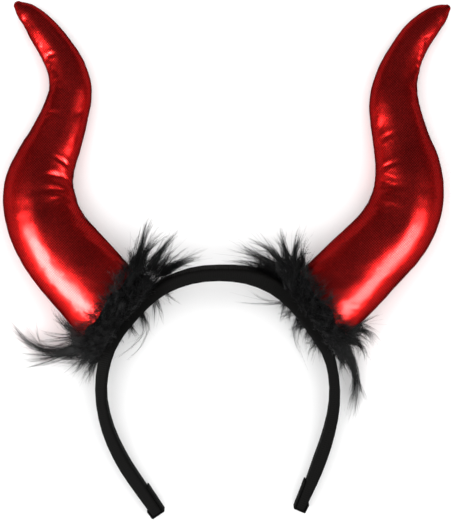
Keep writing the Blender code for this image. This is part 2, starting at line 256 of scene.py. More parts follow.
# %% Rays and smooth rows
def search_tree(node):
    mesh = SOLIDS[node].data
    return BVHTree.FromPolygons([v.co[:] for v in mesh.vertices], [p.vertices[:] for p in mesh.polygons])


def distance_to(tree, start, direction, default):
    hit = tree.ray_cast(Vector(start), Vector(direction))
    return default if hit[3] is None else hit[3]


def unit(vector):
    return vector / np.linalg.norm(vector)


class Path:
    """A smooth curve through a few points, given in millimetres."""

    def __init__(self, points):
        self.points = np.array(points, float) * MM
        steps = np.linalg.norm(np.diff(self.points, axis=0), axis=1)
        self.knots = np.concatenate([[0.0], np.cumsum(steps)])
        self.length = self.knots[-1]
        self.slopes = np.gradient(self.points, self.knots, axis=0)

    def at(self, place):
        """The point at this distance along the curve, and the direction of travel."""
        k = int(np.clip(np.searchsorted(self.knots, place, side="right") - 1, 0, len(self.knots) - 2))
        span = self.knots[k + 1] - self.knots[k]
        t = (place - self.knots[k]) / span
        near, far, leave, arrive = self.points[k], self.points[k + 1], self.slopes[k], self.slopes[k + 1]
        here = (2 * t**3 - 3 * t**2 + 1) * near + (3 * t**2 - 2 * t**3) * far
        here = here + (t**3 - 2 * t**2 + t) * span * leave + (t**3 - t**2) * span * arrive
        travel = (6 * t**2 - 6 * t) * (near - far) / span
        travel = travel + (3 * t**2 - 4 * t + 1) * leave + (3 * t**2 - 2 * t) * arrive
        return here, unit(travel)


def smooth_round(table, passes):
    """A grid of distances, rows by sides, with each one drawn towards its neighbours."""
    for _ in range(passes):
        table = (np.roll(table, 1, axis=1) + 2 * table + np.roll(table, -1, axis=1)) / 4
        inner = (table[:-2] + 2 * table[1:-1] + table[2:]) / 4
        table = np.concatenate([table[:1], inner, table[-1:]])
    return table


def new_piece(name, verts, faces, material=None):
    mesh = bpy.data.meshes.new(name)
    mesh.from_pydata([tuple(v) for v in verts], [], faces)
    if material:
        mesh.materials.append(material)
    mesh.shade_smooth()
    return placed(name, mesh)


def tube_faces(rings, sides):
    """Quads between rings of equal count."""
    faces = []
    for r in range(rings - 1):
        for k in range(sides):
            a, b = r * sides + k, r * sides + (k + 1) % sides
            faces.append((a, a + sides, b + sides, b))
    return faces


def face_outwards(piece):
    shape = bmesh.new()
    shape.from_mesh(piece.data)
    bmesh.ops.recalc_face_normals(shape, faces=shape.faces)
    shape.to_mesh(piece.data)
    shape.free()


def triangles(piece):
    return sum(len(p.vertices) - 2 for p in piece.data.polygons)


# %% [markdown]
# ## The horns
# A real horn is two flat panels of metallic knit, sewn along both edges, turned inside out and stuffed.
# It could be a subdivided box or a sculpt, but a tube of rings along the horn's middle keeps the two seams
# and the run of the cloth, so the knit can follow the panels. The middle line repeats the points of the
# solid's sections, in millimetres, and each ring's reach from it is measured from the solid.
# The tube then goes through a cloth simulation: it starts a little slack and is blown up from inside,
# as stuffing does, and the seams are held.

# %% Horn measures
HORN_LEFT = (
    (-109.9, 133.8, 9.4), (-106.6, 130.9, 9.3), (-101.6, 126.6, 9.3), (-97.8, 121.9, 9.5),
    (-89.4, 110.1, 10.0), (-83.1, 96.9, 11.0), (-81.9, 88.3, 11.4), (-84.6, 76.8, 11.9),
    (-90.3, 62.3, 13.0), (-95.1, 51.2, 14.4),
    (-98.2, 38.7, 16.0), (-97.4, 28.4, 16.7), (-95.6, 20.7, 17.2), (-90.3, 10.3, 17.8), (-80.8, -1.6, 19.2),
    (-69.8, -13.8, 21.0), (-57.5, -28.2, 21.9),
)
HORN_RIGHT = (
    (115.2, 132.3, 9.4), (112.6, 130.5, 9.3), (107.6, 126.4, 9.3), (103.6, 122.6, 9.5), (98.4, 116.5, 9.8),
    (93.0, 107.0, 10.2), (88.5, 95.3, 11.1), (87.0, 84.6, 11.8), (88.3, 73.3, 12.6), (91.2, 60.2, 13.7),
    (93.8, 48.7, 15.2), (94.4, 38.0, 16.2), (93.4, 30.6, 16.7), (90.5, 21.9, 17.1), (84.6, 12.5, 17.7),
    (75.3, 2.6, 18.9), (64.0, -9.0, 20.4), (55.4, -17.3, 21.2), (42.8, -29.3, 21.9),
)
HORN_SIDES = 64
HORN_RINGS = 170
TIP_RINGS = 5
BASE_CLEAR = 9 * MM
BASE_SHORT = 1.4 * MM
TIP_CROWDING = 1.15
SMOOTHING = 3
CAP_REACH = 0.97
CAP_LONGEST = 1.6 * BASE_CLEAR
DOME = 0.75


class Horn:
    """A horn's middle line and, ring by ring, how far its surface is all round."""

    def __init__(self, side, points):
        self.side = side
        self.path = Path(points)
        self.tree = search_tree("horn_" + side)
        self.end = self.path.length - BASE_CLEAR
        self.places = self.end * np.linspace(0, 1, HORN_RINGS) ** TIP_CROWDING
        self.angles = np.linspace(0, 2 * math.pi, HORN_SIDES, endpoint=False)
        raw = np.array([[self.ray(place, angle) for angle in self.angles] for place in self.places])
        self.reach = smooth_round(raw, SMOOTHING)

    def frame_at(self, place):
        """The middle, the direction across and the direction of travel, all level."""
        middle, travel = self.path.at(min(place, self.path.length))
        level = unit(np.array([travel[0], travel[1], 0.0]))
        middle = middle + level * max(0.0, place - self.path.length)
        across = np.array([-level[1], level[0], 0.0])
        return middle, across if across[0] > 0 else -across, level

    def ray(self, place, angle):
        middle, across, _ = self.frame_at(place)
        direction = across * math.cos(angle) + np.array([0, 0, math.sin(angle)])
        return distance_to(self.tree, middle, direction, 0.0)

    def reach_at(self, place, angle):
        """The measured distance from the middle to the surface, between the rings."""
        row = np.interp(place, self.places, np.arange(HORN_RINGS))
        low = int(min(row, HORN_RINGS - 2))
        column = (angle / (2 * math.pi) * HORN_SIDES) % HORN_SIDES
        left = int(column) % HORN_SIDES
        right = (left + 1) % HORN_SIDES
        u, v = row - low, column - int(column)
        near = self.reach[low, left] * (1 - v) + self.reach[low, right] * v
        far = self.reach[low + 1, left] * (1 - v) + self.reach[low + 1, right] * v
        return near * (1 - u) + far * u

    def base_point(self, angle, share, short):
        """A point on the end that is sewn to the hoop: a share of the way out, and short of the solid."""
        middle, _, level = self.frame_at(self.end)
        out = self.surface(self.end, angle) - middle
        run = distance_to(self.tree, middle + out * share * CAP_REACH, level, BASE_CLEAR)
        return middle + out * share + level * (min(run, CAP_LONGEST) - short)

    def surface(self, place, angle, extra=0.0):
        """A point on the horn, or `extra` metres outside it."""
        middle, across, _ = self.frame_at(place)
        direction = across * math.cos(angle) + np.array([0, 0, math.sin(angle)])
        return middle + direction * (self.reach_at(min(place, self.end), angle) + extra)


horns = {"left": Horn("left", HORN_LEFT), "right": Horn("right", HORN_RIGHT)}
for horn in horns.values():
    length, reach = horn.path.length / MM, horn.reach.max() / MM
    print(horn.side, f"{length:.0f} mm long, {reach:.1f} mm from middle to skin at most")

# %% [markdown]
# The tube is closed with a small dome at the tip and runs on to the hoop at its base. Its second set of
# coordinates is the flat panel: how far each point is from the ridge, measured along the cloth.

# %% Horn tube
def horn_points(horn):
    """Rings from tip to base, and the same rings laid out flat as the sewing pattern has them."""
    rings, flat = [], []
    first, first_travel = horn.path.at(0.0)
    for k in range(TIP_RINGS):
        bend = math.pi / 2 * (k + 0.6) / TIP_RINGS
        out = -unit(first_travel * (1, 1, 0)) * horn.reach[0].mean() * DOME * math.cos(bend)
        ring = [first + out + (horn.surface(0.0, a) - first) * math.sin(bend) for a in horn.angles]
        rings.append(ring)
    for place in horn.places:
        rings.append([horn.surface(place, a) for a in horn.angles])
    rings.append([horn.base_point(a, 1.0, BASE_SHORT) for a in horn.angles])
    places = [0.0] * TIP_RINGS + list(horn.places) + [horn.end + BASE_CLEAR]
    ridge = HORN_SIDES // 4
    for ring, place in zip(rings, places):
        middle, across, _ = horn.frame_at(place)
        points = np.array(ring)
        steps = np.linalg.norm(np.roll(points, -1, axis=0) - points, axis=1)
        walked = np.concatenate([[0.0], np.cumsum(steps)[:-1]])
        offset = walked[ridge] - walked
        flat.append([middle + across * d for d in offset])
    return np.array(rings), np.array(flat), places


def horn_tube(name, rings):
    count = len(rings)
    verts = [tuple(point) for ring in rings for point in ring]
    faces = tube_faces(count, HORN_SIDES)
    first, second = Vector(rings[0].mean(axis=0)), Vector(rings[1].mean(axis=0))
    verts.append(tuple(first + (first - second) * 0.3))
    verts.append(tuple(rings[-1].mean(axis=0)))
    last = (count - 1) * HORN_SIDES
    for k in range(HORN_SIDES):
        nxt = (k + 1) % HORN_SIDES
        faces.append((k, nxt, len(verts) - 2))
        faces.append((last + nxt, last + k, len(verts) - 1))
    return new_piece(name, verts, faces)


# %% [markdown]
# The simulation is short. The tip and the base are pinned in their places and the two seams nearly so,
# and the panels between them start a little slack. The cloth is cut a little large on the inside of each
# bend, so that it has something to wrinkle with. How far any point may move from where it was measured is
# capped, so that the horn stays near its solid.

# %% Stuffing the horns
SLACK_START = 0.8 * MM
SLACK_RAMP = 8 * MM
STUFFING_PRESSURE = 4.0
CLOTH_EXCESS = -0.004
BEND_EXCESS = -0.035
CLOTH_FRAMES = 20
MOST_MOVE = 1.0 * MM
SEAM_HOLD = 0.85
SPARE_GAIN = 3.0
CLOTH_STIFFNESS = {
    "quality": 6, "mass": 0.15, "tension_stiffness": 25, "compression_stiffness": 25,
    "shear_stiffness": 8, "bending_stiffness": 0.35, "pin_stiffness": 1.0,
}


def stuffed(horn, rings, places):
    """The rings after the cloth has been blown up from inside."""
    middles = rings.mean(axis=1, keepdims=True)
    away = rings - middles
    away = away / np.maximum(np.linalg.norm(away, axis=2, keepdims=True), 1e-9)
    inside = np.minimum(places, places[-1] - np.array(places)) / SLACK_RAMP
    slack = SLACK_START * np.clip(inside, 0, 1)[:, None] * np.abs(np.sin(horn.angles))[None, :]
    tube = horn_tube("stuffing", rings - away * slack[:, :, None])
    face_outwards(tube)
    held = tube.vertex_groups.new(name="held")
    count = len(rings)
    for r in range(count):
        for k in (0, HORN_SIDES // 2):
            held.add([r * HORN_SIDES + k], SEAM_HOLD, "REPLACE")
    ends = [*range(TIP_RINGS * HORN_SIDES), *range((count - 3) * HORN_SIDES, count * HORN_SIDES + 2)]
    held.add(ends, 1.0, "REPLACE")
    spare = tube.vertex_groups.new(name="spare")
    for r, place in enumerate(places):
        for k, angle in enumerate(horn.angles):
            spare.add([r * HORN_SIDES + k], min(1.0, SPARE_GAIN * squeeze(horn, place, angle)), "REPLACE")
    cloth = tube.modifiers.new("cloth", "CLOTH")
    settings = cloth.settings
    for label, value in CLOTH_STIFFNESS.items():
        setattr(settings, label, value)
    settings.use_pressure = True
    settings.uniform_pressure_force = STUFFING_PRESSURE
    settings.shrink_min, settings.shrink_max = CLOTH_EXCESS, BEND_EXCESS
    settings.vertex_group_shrink = "spare"
    settings.vertex_group_mass = "held"
    settings.effector_weights.gravity = 0
    cloth.collision_settings.use_collision = False
    cloth.point_cache.frame_start, cloth.point_cache.frame_end = 1, CLOTH_FRAMES
    scene = bpy.context.scene
    for moment in range(1, CLOTH_FRAMES + 1):
        scene.frame_set(moment)
    graph = bpy.context.evaluated_depsgraph_get()
    blown = tube.evaluated_get(graph).data
    co = np.zeros(len(blown.vertices) * 3)
    blown.vertices.foreach_get("co", co)
    co = co.reshape(-1, 3)[: count * HORN_SIDES].reshape(count, HORN_SIDES, 3)
    bpy.data.objects.remove(tube)
    scene.frame_set(1)
    move = co - rings
    length = np.linalg.norm(move, axis=2, keepdims=True)
    return rings + move * np.minimum(1.0, MOST_MOVE / np.maximum(length, 1e-9))


# %% [markdown]
# Where a stuffed tube bends, the cloth on the inside of the bend has nowhere to go and folds into short
# creases across the horn. They come after the simulation, as hollows between two soft ridges. Small noise
# makes the surface uneven, as hand-packed stuffing does.

# %% Creases and lumps
from collections import namedtuple

Crease = namedtuple("Crease", "x y slant length width depth")
CREASES = {
    "left": (
        Crease(-85.5, 51.5, -35, 6.0, 0.9, 0.45),
        Crease(-88.5, 43.5, -12, 7.0, 1.4, 0.45),
        Crease(-89.5, 36.5, -6, 9.0, 1.5, 0.5),
        Crease(-91.5, 76.5, -6, 4.0, 1.2, 0.35),
        Crease(-92.5, 107.0, 20, 3.2, 1.0, 0.3),
    ),
    "right": (
        Crease(82.5, 49.0, 28, 5.5, 1.0, 0.4),
        Crease(83.0, 64.5, 30, 4.0, 1.1, 0.35),
        Crease(84.0, 38.0, 10, 8.0, 1.5, 0.4),
        Crease(104.5, 107.0, -24, 3.5, 1.0, 0.3),
    ),
}
LUMP_SIZE = 24 * MM
LUMP_HEIGHT = 0.5 * MM
PUCKER_SIZE = 6.5 * MM
PUCKER_HEIGHT = 0.14 * MM
WRINKLE_LENGTH = 2.6 * MM
WRINKLE_WIDTH = 11 * MM
WRINKLE_HEIGHT = 0.9 * MM
WRINKLE_MOST = 0.3
BEND_SPAN = 9 * MM
RIDGE_PLACE, RIDGE_SHARE = 1.9, 0.45
CREASE_BOW = 0.02
FLOOR_CLEAR = 0.05 * MM


def crease_depth(point, creases):
    total = 0.0
    for crease in creases:
        dx, dy = point[0] / MM - crease.x, point[1] / MM - crease.y
        turn = math.radians(crease.slant)
        along = dx * math.cos(turn) + dy * math.sin(turn)
        over = -dx * math.sin(turn) + dy * math.cos(turn) + CREASE_BOW * along * along
        fade = math.exp(-((along / crease.length) ** 2))
        hollow = math.exp(-((over / crease.width) ** 2))
        ridges = math.exp(-(((over - RIDGE_PLACE * crease.width) / crease.width) ** 2))
        ridges += math.exp(-(((over + RIDGE_PLACE * crease.width) / crease.width) ** 2))
        total += crease.depth * MM * fade * (hollow - RIDGE_SHARE * ridges)
    return total


def squeeze(horn, place, angle):
    """How much the cloth is shortened by the horn's bend here, as a share of its length."""
    low, high = max(place - BEND_SPAN, 0.0), min(place + BEND_SPAN, horn.path.length)
    _, before = horn.path.at(low)
    _, after = horn.path.at(high)
    _, across, _ = horn.frame_at(place)
    bend = float(np.dot((after - before) / (high - low), across))
    reach = horn.reach_at(min(place, horn.end), angle)
    return max(0.0, bend * reach * math.cos(angle))


def wrinkles(horn, place, angle):
    """Fine ripples across the horn, deepest on the inside of its bends."""
    around = angle * horn.reach_at(min(place, horn.end), angle)
    spot = Vector((place / WRINKLE_LENGTH, around / WRINKLE_WIDTH, 0.0))
    spot.x += 1.3 * noise.noise(Vector((place / (7 * MM), around / (9 * MM), 4.0)))
    return noise.noise(spot) * WRINKLE_HEIGHT * min(WRINKLE_MOST, squeeze(horn, place, angle))


def lumps(point):
    """The unevenness of packed stuffing, and finer puckers, at this point."""
    place = Vector(point)
    slow = noise.noise(place / LUMP_SIZE) * LUMP_HEIGHT
    stretched = Vector((place.x, place.y, place.z * 0.6)) / PUCKER_SIZE
    return slow + noise.noise(stretched + Vector((3.1, 7.7, 1.3))) * PUCKER_HEIGHT


def upper_weight(direction):
    """1 on the upper side, fading to nothing underneath."""
    return min(1.0, max(0.0, 0.35 + 1.4 * direction[2]))


def dress_horn(horn):
    rings, flat, places = horn_points(horn)
    rings = stuffed(horn, rings, places)
    middles = rings.mean(axis=1)
    shaped = np.array(rings)
    for r, ring in enumerate(rings):
        for k, point in enumerate(ring):
            direction = unit(point - middles[r])
            press = crease_depth(point, CREASES[horn.side]) * upper_weight(direction)
            ripple = wrinkles(horn, places[r], horn.angles[k])
            moved = point + direction * (lumps(point) + ripple - press)
            moved[2] = max(moved[2], FLOOR_CLEAR)
            shaped[r, k] = moved
    piece = horn_tube(f"horn_{horn.side}_cloth", shaped)
    layer = piece.data.uv_layers.new(name="panel")
    pattern = flat.reshape(-1, 3)
    middle = pattern.mean(axis=0)
    for loop in piece.data.loops:
        spot = pattern[loop.vertex_index] if loop.vertex_index < len(pattern) else middle
        layer.data[loop.index].uv = (spot[0], spot[1])
    face_outwards(piece)
    round_off = piece.modifiers.new("round_off", "SUBSURF")
    round_off.levels = round_off.render_levels = 1
    graph = bpy.context.evaluated_depsgraph_get()
    rounded = bpy.data.meshes.new_from_object(piece.evaluated_get(graph))
    piece.modifiers.clear()
    piece.data = rounded
    piece.data.shade_smooth()
    return piece


# %% [markdown]
# The cloth is a knit with a metallic film on it. Film reflects as metal does, tinted red, and its glossy
# face adds a little white, which is what turns the streaks pink. The knit shows as a diagonal mesh of
# bumps 1 mm apart, about the finest that still shows in a small picture. It is read from the flat panel,
# so that it runs with the cloth. The knit also paints the colour: lighter on its loops, as a painted
# glint, and darker between them, as painted shade. Fine specks and wear mottle the colour at random.

# %% Foil cloth
KNIT_PITCH = 1.0 * MM
# The foil's two colours: darker as painted shade between the knit's loops, lighter as painted glint on
# them.
FOIL_DEEP = (0.08, 0.0005, 0.0005)
FOIL_BRIGHT = (0.41, 0.006, 0.005)
FOIL_EDGE = (0.12, 0.01, 0.01, 1)
FILM = 0.24


def foil_cloth():
    steady = {"Metallic": 1.0, "Coat Roughness": 0.25, "Specular Tint": FOIL_EDGE}
    foil = Finish("horn_foil", steady)
    panel = foil.node("ShaderNodeUVMap", {"uv_map": "panel"})
    x = foil.node("ShaderNodeSeparateXYZ", {}, {0: panel}, output=0)
    y = foil.node("ShaderNodeSeparateXYZ", {}, {0: panel}, output=1)
    turns = math.pi / KNIT_PITCH / math.sqrt(2)
    wales = ((x + y) * turns).sine().size()
    courses = ((x - y) * turns).sine().size()
    knit = (wales * courses) ** 0.6
    crumple = foil.cloudy(420, detail=5, rough=0.65)
    specks = foil.cloudy(1100, detail=3, rough=0.7)
    worn = foil.cloudy(60, detail=3)
    foil.relief(knit * 0.5 + crumple * 1.1 + specks * 0.5, 0.4, 0.14 * MM)
    # The knit paints the colour lighter on its loops (painted glint) and darker between them (painted
    # shade); specks and wear mottle it at random.
    mottle_and_painted_knit_glint = (knit * 1.2 + specks * 1.3 + worn * 0.5 - 1.2).clamped()
    turned = foil.node("ShaderNodeLayerWeight", {}, {"Blend": 0.5}, output="Facing")
    foil.give(Coat_Weight=(1 - turned) ** 2.0 * FILM * (0.35 + mottle_and_painted_knit_glint))
    foil.give(Base_Color=foil.tint(mottle_and_painted_knit_glint, FOIL_DEEP, FOIL_BRIGHT))
    foil.give(Roughness=0.24 + 0.1 * worn + 0.1 * crumple - 0.05 * knit)
    return foil.material


horn_foil = foil_cloth()
for horn in horns.values():
    piece = dress_horn(horn)
    piece.data.materials.clear()
    piece.data.materials.append(horn_foil)
    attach(piece, "root")
    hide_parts("horn_" + horn.side)
    horn.piece = piece
    print(piece.name, triangles(piece), "triangles")

# %% [markdown]
# ## The hoop
# The hoop is a springy strip wrapped in corded ribbon, whose cords run across it. The wrapping is made as
# a tube of fine rings measured from the solid. The cords are a shape that repeats along a path, so a small
# geometry tree raises them: it moves each point out along its normal by a wave of the distance travelled.

# %% Hoop measures
HOOP_MIDDLE = (
    (-36.7, -132.0), (-44.7, -120.4), (-55.5, -103.6), (-62.8, -86.8), (-65.9, -70.0), (-64.8, -56.0),
    (-59.9, -41.2), (-49.4, -27.3), (-35.0, -14.6), (-18.8, -7.9), (-2.0, -6.4), (13.7, -8.3),
    (24.9, -13.2), (36.1, -23.4), (45.0, -35.3), (52.3, -48.1), (55.5, -61.6), (55.7, -75.0),
    (53.0, -89.5), (48.0, -105.0),
    (42.1, -120.2), (38.0, -129.6),
)
CROWN_Y, CROWN_Z = -6.4, 21.5
END_Y, END_Z = -132.0, 5.35
LEAN = math.atan2(CROWN_Z - END_Z, CROWN_Y - END_Y)
WIDTHWISE = np.array([0.0, -math.sin(LEAN), math.cos(LEAN)])
RIB_PITCH = 1.15 * MM
RIB_HEIGHT = 0.14 * MM
RINGS_PER_RIB = 4
CORNER = 1.5 * MM
CORNER_STEPS = 4
FLAT_STEPS = 3
END_MARGIN = 0.15 * MM
THICK_PROBE, WIDE_PROBE = 3 * MM, 8 * MM


def hoop_point(x, y):
    return x, y, END_Z + (y - END_Y) * math.tan(LEAN)


hoop_path = Path([hoop_point(x, y) for x, y in HOOP_MIDDLE])
hoop_tree = search_tree("hoop")


def hoop_size(place):
    """Half the thickness and half the width of the hoop here, and its middle and outward direction."""
    middle, travel = hoop_path.at(place)
    outward = np.cross(WIDTHWISE, travel)
    both = (1, -1)
    spread = [distance_to(hoop_tree, middle, outward * sign, THICK_PROBE) for sign in both]
    width = [distance_to(hoop_tree, middle, WIDTHWISE * sign, WIDE_PROBE) for sign in both]
    centre = middle + outward * (spread[0] - spread[1]) / 2 + WIDTHWISE * (width[0] - width[1]) / 2
    return centre, outward, travel, sum(spread) / 2, sum(width) / 2


def rounded_outline(half_thick, half_width, corner):
    """A rectangle with rounded corners and a few points along each side."""
    arcs = []
    for turn, (u, v) in enumerate(((1, 1), (-1, 1), (-1, -1), (1, -1))):
        for step in range(CORNER_STEPS + 1):
            angle = math.pi / 2 * (turn + step / CORNER_STEPS)
            across = u * (half_thick - corner) + corner * math.cos(angle)
            arcs.append((across, v * (half_width - corner) + corner * math.sin(angle)))
    outline = []
    for k, (near, far) in enumerate(zip(arcs, arcs[1:] + arcs[:1])):
        outline.append(near)
        if k % (CORNER_STEPS + 1) == CORNER_STEPS:
            for step in range(1, FLAT_STEPS + 1):
                t = step / (FLAT_STEPS + 1)
                outline.append((near[0] * (1 - t) + far[0] * t, near[1] * (1 - t) + far[1] * t))
    return outline


# %% [markdown]
# The wrapping is one closed tube, with a few rings to each cord. Every point carries how far along the hoop
# it is, which the geometry tree and the finish both read, so that the cords and their colour agree.

# %% Ribbon wrapping
def wrapped_hoop():
    count = int(hoop_path.length / RIB_PITCH) * RINGS_PER_RIB
    places = np.linspace(END_MARGIN, hoop_path.length - END_MARGIN, count)
    verts, along = [], []
    for place in places:
        middle, outward, _, half_thick, half_width = hoop_size(place)
        outline = rounded_outline(half_thick, half_width, CORNER)
        verts += [middle + outward * u + WIDTHWISE * v for u, v in outline]
        along += [place] * len(outline)
    sides = len(outline)
    faces = tube_faces(count, sides)
    faces += [tuple(range(sides)), tuple(reversed(range((count - 1) * sides, count * sides)))]
    piece = new_piece("hoop_ribbon", verts, faces)
    travelled = piece.data.attributes.new("along", "FLOAT", "POINT")
    travelled.data.foreach_set("value", along)
    face_outwards(piece)
    return piece


def new_geometry_tree(name, sizes):
    """An empty tree with a geometry going in and out, and a named input for each size."""
    tree = bpy.data.node_groups.new(name, "GeometryNodeTree")
    tree.is_modifier = True
    tree.interface.new_socket("Geometry", in_out="INPUT", socket_type="NodeSocketGeometry")
    for label, kind in sizes.items():
        tree.interface.new_socket(label, in_out="INPUT", socket_type="NodeSocket" + kind)
    tree.interface.new_socket("Geometry", in_out="OUTPUT", socket_type="NodeSocketGeometry")
    nodes = Nodes(tree)
    entry = tree.nodes.new("NodeGroupInput")
    given = {socket.name: Value(nodes, socket) for socket in entry.outputs if socket.name}
    return nodes, given


def close_geometry_tree(nodes, geometry, material):
    """Ends a tree: copies are made real, the finish is set, and the result goes out."""
    real = nodes.node("GeometryNodeRealizeInstances", {}, {0: geometry})
    painted = nodes.node("GeometryNodeSetMaterial", {}, {"Geometry": real, "Material": material})
    way_out = nodes.tree.nodes.new("NodeGroupOutput")
    nodes.feed(way_out.inputs[0], painted)


def run_geometry_tree(piece, nodes, values):
    """The piece with the tree's result as its plain mesh."""
    step = piece.modifiers.new("tree", "NODES")
    step.node_group = nodes.tree
    for socket in nodes.tree.interface.items_tree:
        if socket.in_out == "INPUT" and socket.name in values:
            step[socket.identifier] = values[socket.name]
    graph = bpy.context.evaluated_depsgraph_get()
    result = bpy.data.meshes.new_from_object(piece.evaluated_get(graph), depsgraph=graph)
    piece.modifiers.clear()
    piece.data = result
    return piece


def rib_tree():
    """Raises ribs across a tube, from the distance along it that each point carries."""
    sizes = {"Rib pitch": "Float", "Rib height": "Float", "Finish": "Material"}
    nodes, given = new_geometry_tree("ribs", sizes)
    along = nodes.node("GeometryNodeInputNamedAttribute", {"data_type": "FLOAT"}, {"Name": "along"})
    phase = along.maths("DIVIDE", along, given["Rib pitch"]) * math.pi
    height = phase.sine().size() * given["Rib height"]
    normal = nodes.node("GeometryNodeInputNormal")
    push = nodes.node("ShaderNodeVectorMath", {"operation": "SCALE"}, {0: normal, "Scale": height})
    moved = nodes.node("GeometryNodeSetPosition", {}, {"Geometry": given["Geometry"], "Offset": push})
    close_geometry_tree(nodes, moved, given["Finish"])
    return nodes


# %% [markdown]
# The ribbon is matt and almost black. Between the cords it is painted darker, as painted shade in the
# grooves; along them the yarn shows as fine uneven threads, so the finish reads the same distance as the
# cords do.

# %% Ribbon finish
# The ribbon's colour in the grooves, darkened as painted shade, and on the cords.
RIBBON_LOW = (0.0004, 0.0004, 0.0003)
RIBBON_HIGH = (0.0024, 0.0022, 0.002)
THREADS = 2400


def ribbon_cloth():
    ribbon = Finish("band_ribbon", {"Roughness": 0.9, "Specular IOR Level": 0.03})
    along = ribbon.node("ShaderNodeAttribute", {"attribute_name": "along"}, output="Fac")
    rib = (along * (math.pi / RIB_PITCH)).sine().size()
    threads = ribbon.cloudy(THREADS, detail=3, rough=0.7)
    worn = ribbon.cloudy(70, detail=3)
    # Darker between the cords is painted shade in the grooves; the threads and wear are the ribbon's own
    # tone.
    tone = rib * 0.55 + threads * 0.35 + worn * 0.25
    ribbon.give(Base_Color=ribbon.tint(tone, RIBBON_LOW, RIBBON_HIGH))
    ribbon.relief(rib * 0.5 + threads * 0.6, 0.5, 0.15 * MM)
    return ribbon.material


band_ribbon = ribbon_cloth()
hoop_piece = wrapped_hoop()
rib_sizes = {"Rib pitch": RIB_PITCH, "Rib height": RIB_HEIGHT, "Finish": band_ribbon}
run_geometry_tree(hoop_piece, rib_tree(), rib_sizes)
hoop_piece.data.shade_smooth()
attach(hoop_piece, "root")
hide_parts("hoop")
print(hoop_piece.name, triangles(hoop_piece), "triangles")

# %% [markdown]
# ## The ribbon's ends
# At each end of the hoop a short length of the same ribbon is folded over the tip and glued down. Its
# solid already has the right path, so a copy of it is merged, its edges are rounded and it is made finer.

# %% Folded ends
END_ROUND = 0.28 * MM
END_WEAVE = 0.05 * MM
SAME_POINT = 0.02 * MM
FLAT_ENOUGH, SKEW_ENOUGH, SHARP_FROM = math.radians(12), math.radians(60), math.radians(50)


def folded_end(side):
    node = f"end_tab_{side}"
    shape = bmesh.new()
    shape.from_mesh(SOLIDS[node].data)
    bmesh.ops.remove_doubles(shape, verts=shape.verts, dist=SAME_POINT)
    bmesh.ops.recalc_face_normals(shape, faces=shape.faces)
    limits = {"angle_face_threshold": FLAT_ENOUGH, "angle_shape_threshold": SKEW_ENOUGH}
    bmesh.ops.join_triangles(shape, faces=shape.faces, **limits)
    sharp = [edge for edge in shape.edges if edge.calc_face_angle(0) > SHARP_FROM]
    bmesh.ops.bevel(shape, geom=sharp, offset=END_ROUND, segments=2, affect="EDGES", clamp_overlap=True)
    bmesh.ops.subdivide_edges(shape, edges=shape.edges, cuts=3, use_grid_fill=True)
    bmesh.ops.triangulate(shape, faces=shape.faces)
    mesh = bpy.data.meshes.new(node + "_ribbon")
    shape.to_mesh(mesh)
    shape.free()
    mesh.materials.append(band_ribbon)
    mesh.shade_smooth()
    piece = placed(node + "_ribbon", mesh)
    along = mesh.attributes.new("along", "FLOAT", "POINT")
    start = hoop_path.points[0 if side == "left" else -1]
    _, travel = hoop_path.at(0.0 if side == "left" else hoop_path.length)
    for vert, item in zip(mesh.vertices, along.data):
        item.value = float(np.dot(np.array(vert.co) - start, travel))
        vert.co += vert.normal * END_WEAVE * abs(math.sin(item.value * math.pi / RIB_PITCH))
    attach(piece, "root")
    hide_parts(node)
    return piece


for side in ("left", "right"):
    print(folded_end(side).name)

# %% [markdown]
# ## The fur
# Long-pile fur is thousands of hairs that lie in clumps. Blender's own hair system would not be exported,
# so the hairs are thin three-sided tubes. Each clump has a guide: a short curve from the skin to the
# clump's tip. One geometry tree copies every guide many times, moves each copy a little at the root and
# differently at the tip, adds a wave, pushes what would go into the horn back out, lifts what would go
# below the floor, and gives it a radius.

# %% Hair tree
HAIR_STEPS = 5
HAIR_SIDES = 3
HAIR_FLOOR = 0.4 * MM
TIP_BEND = 1.3
OWN_WAVE = 0.012
TAPER = 0.85


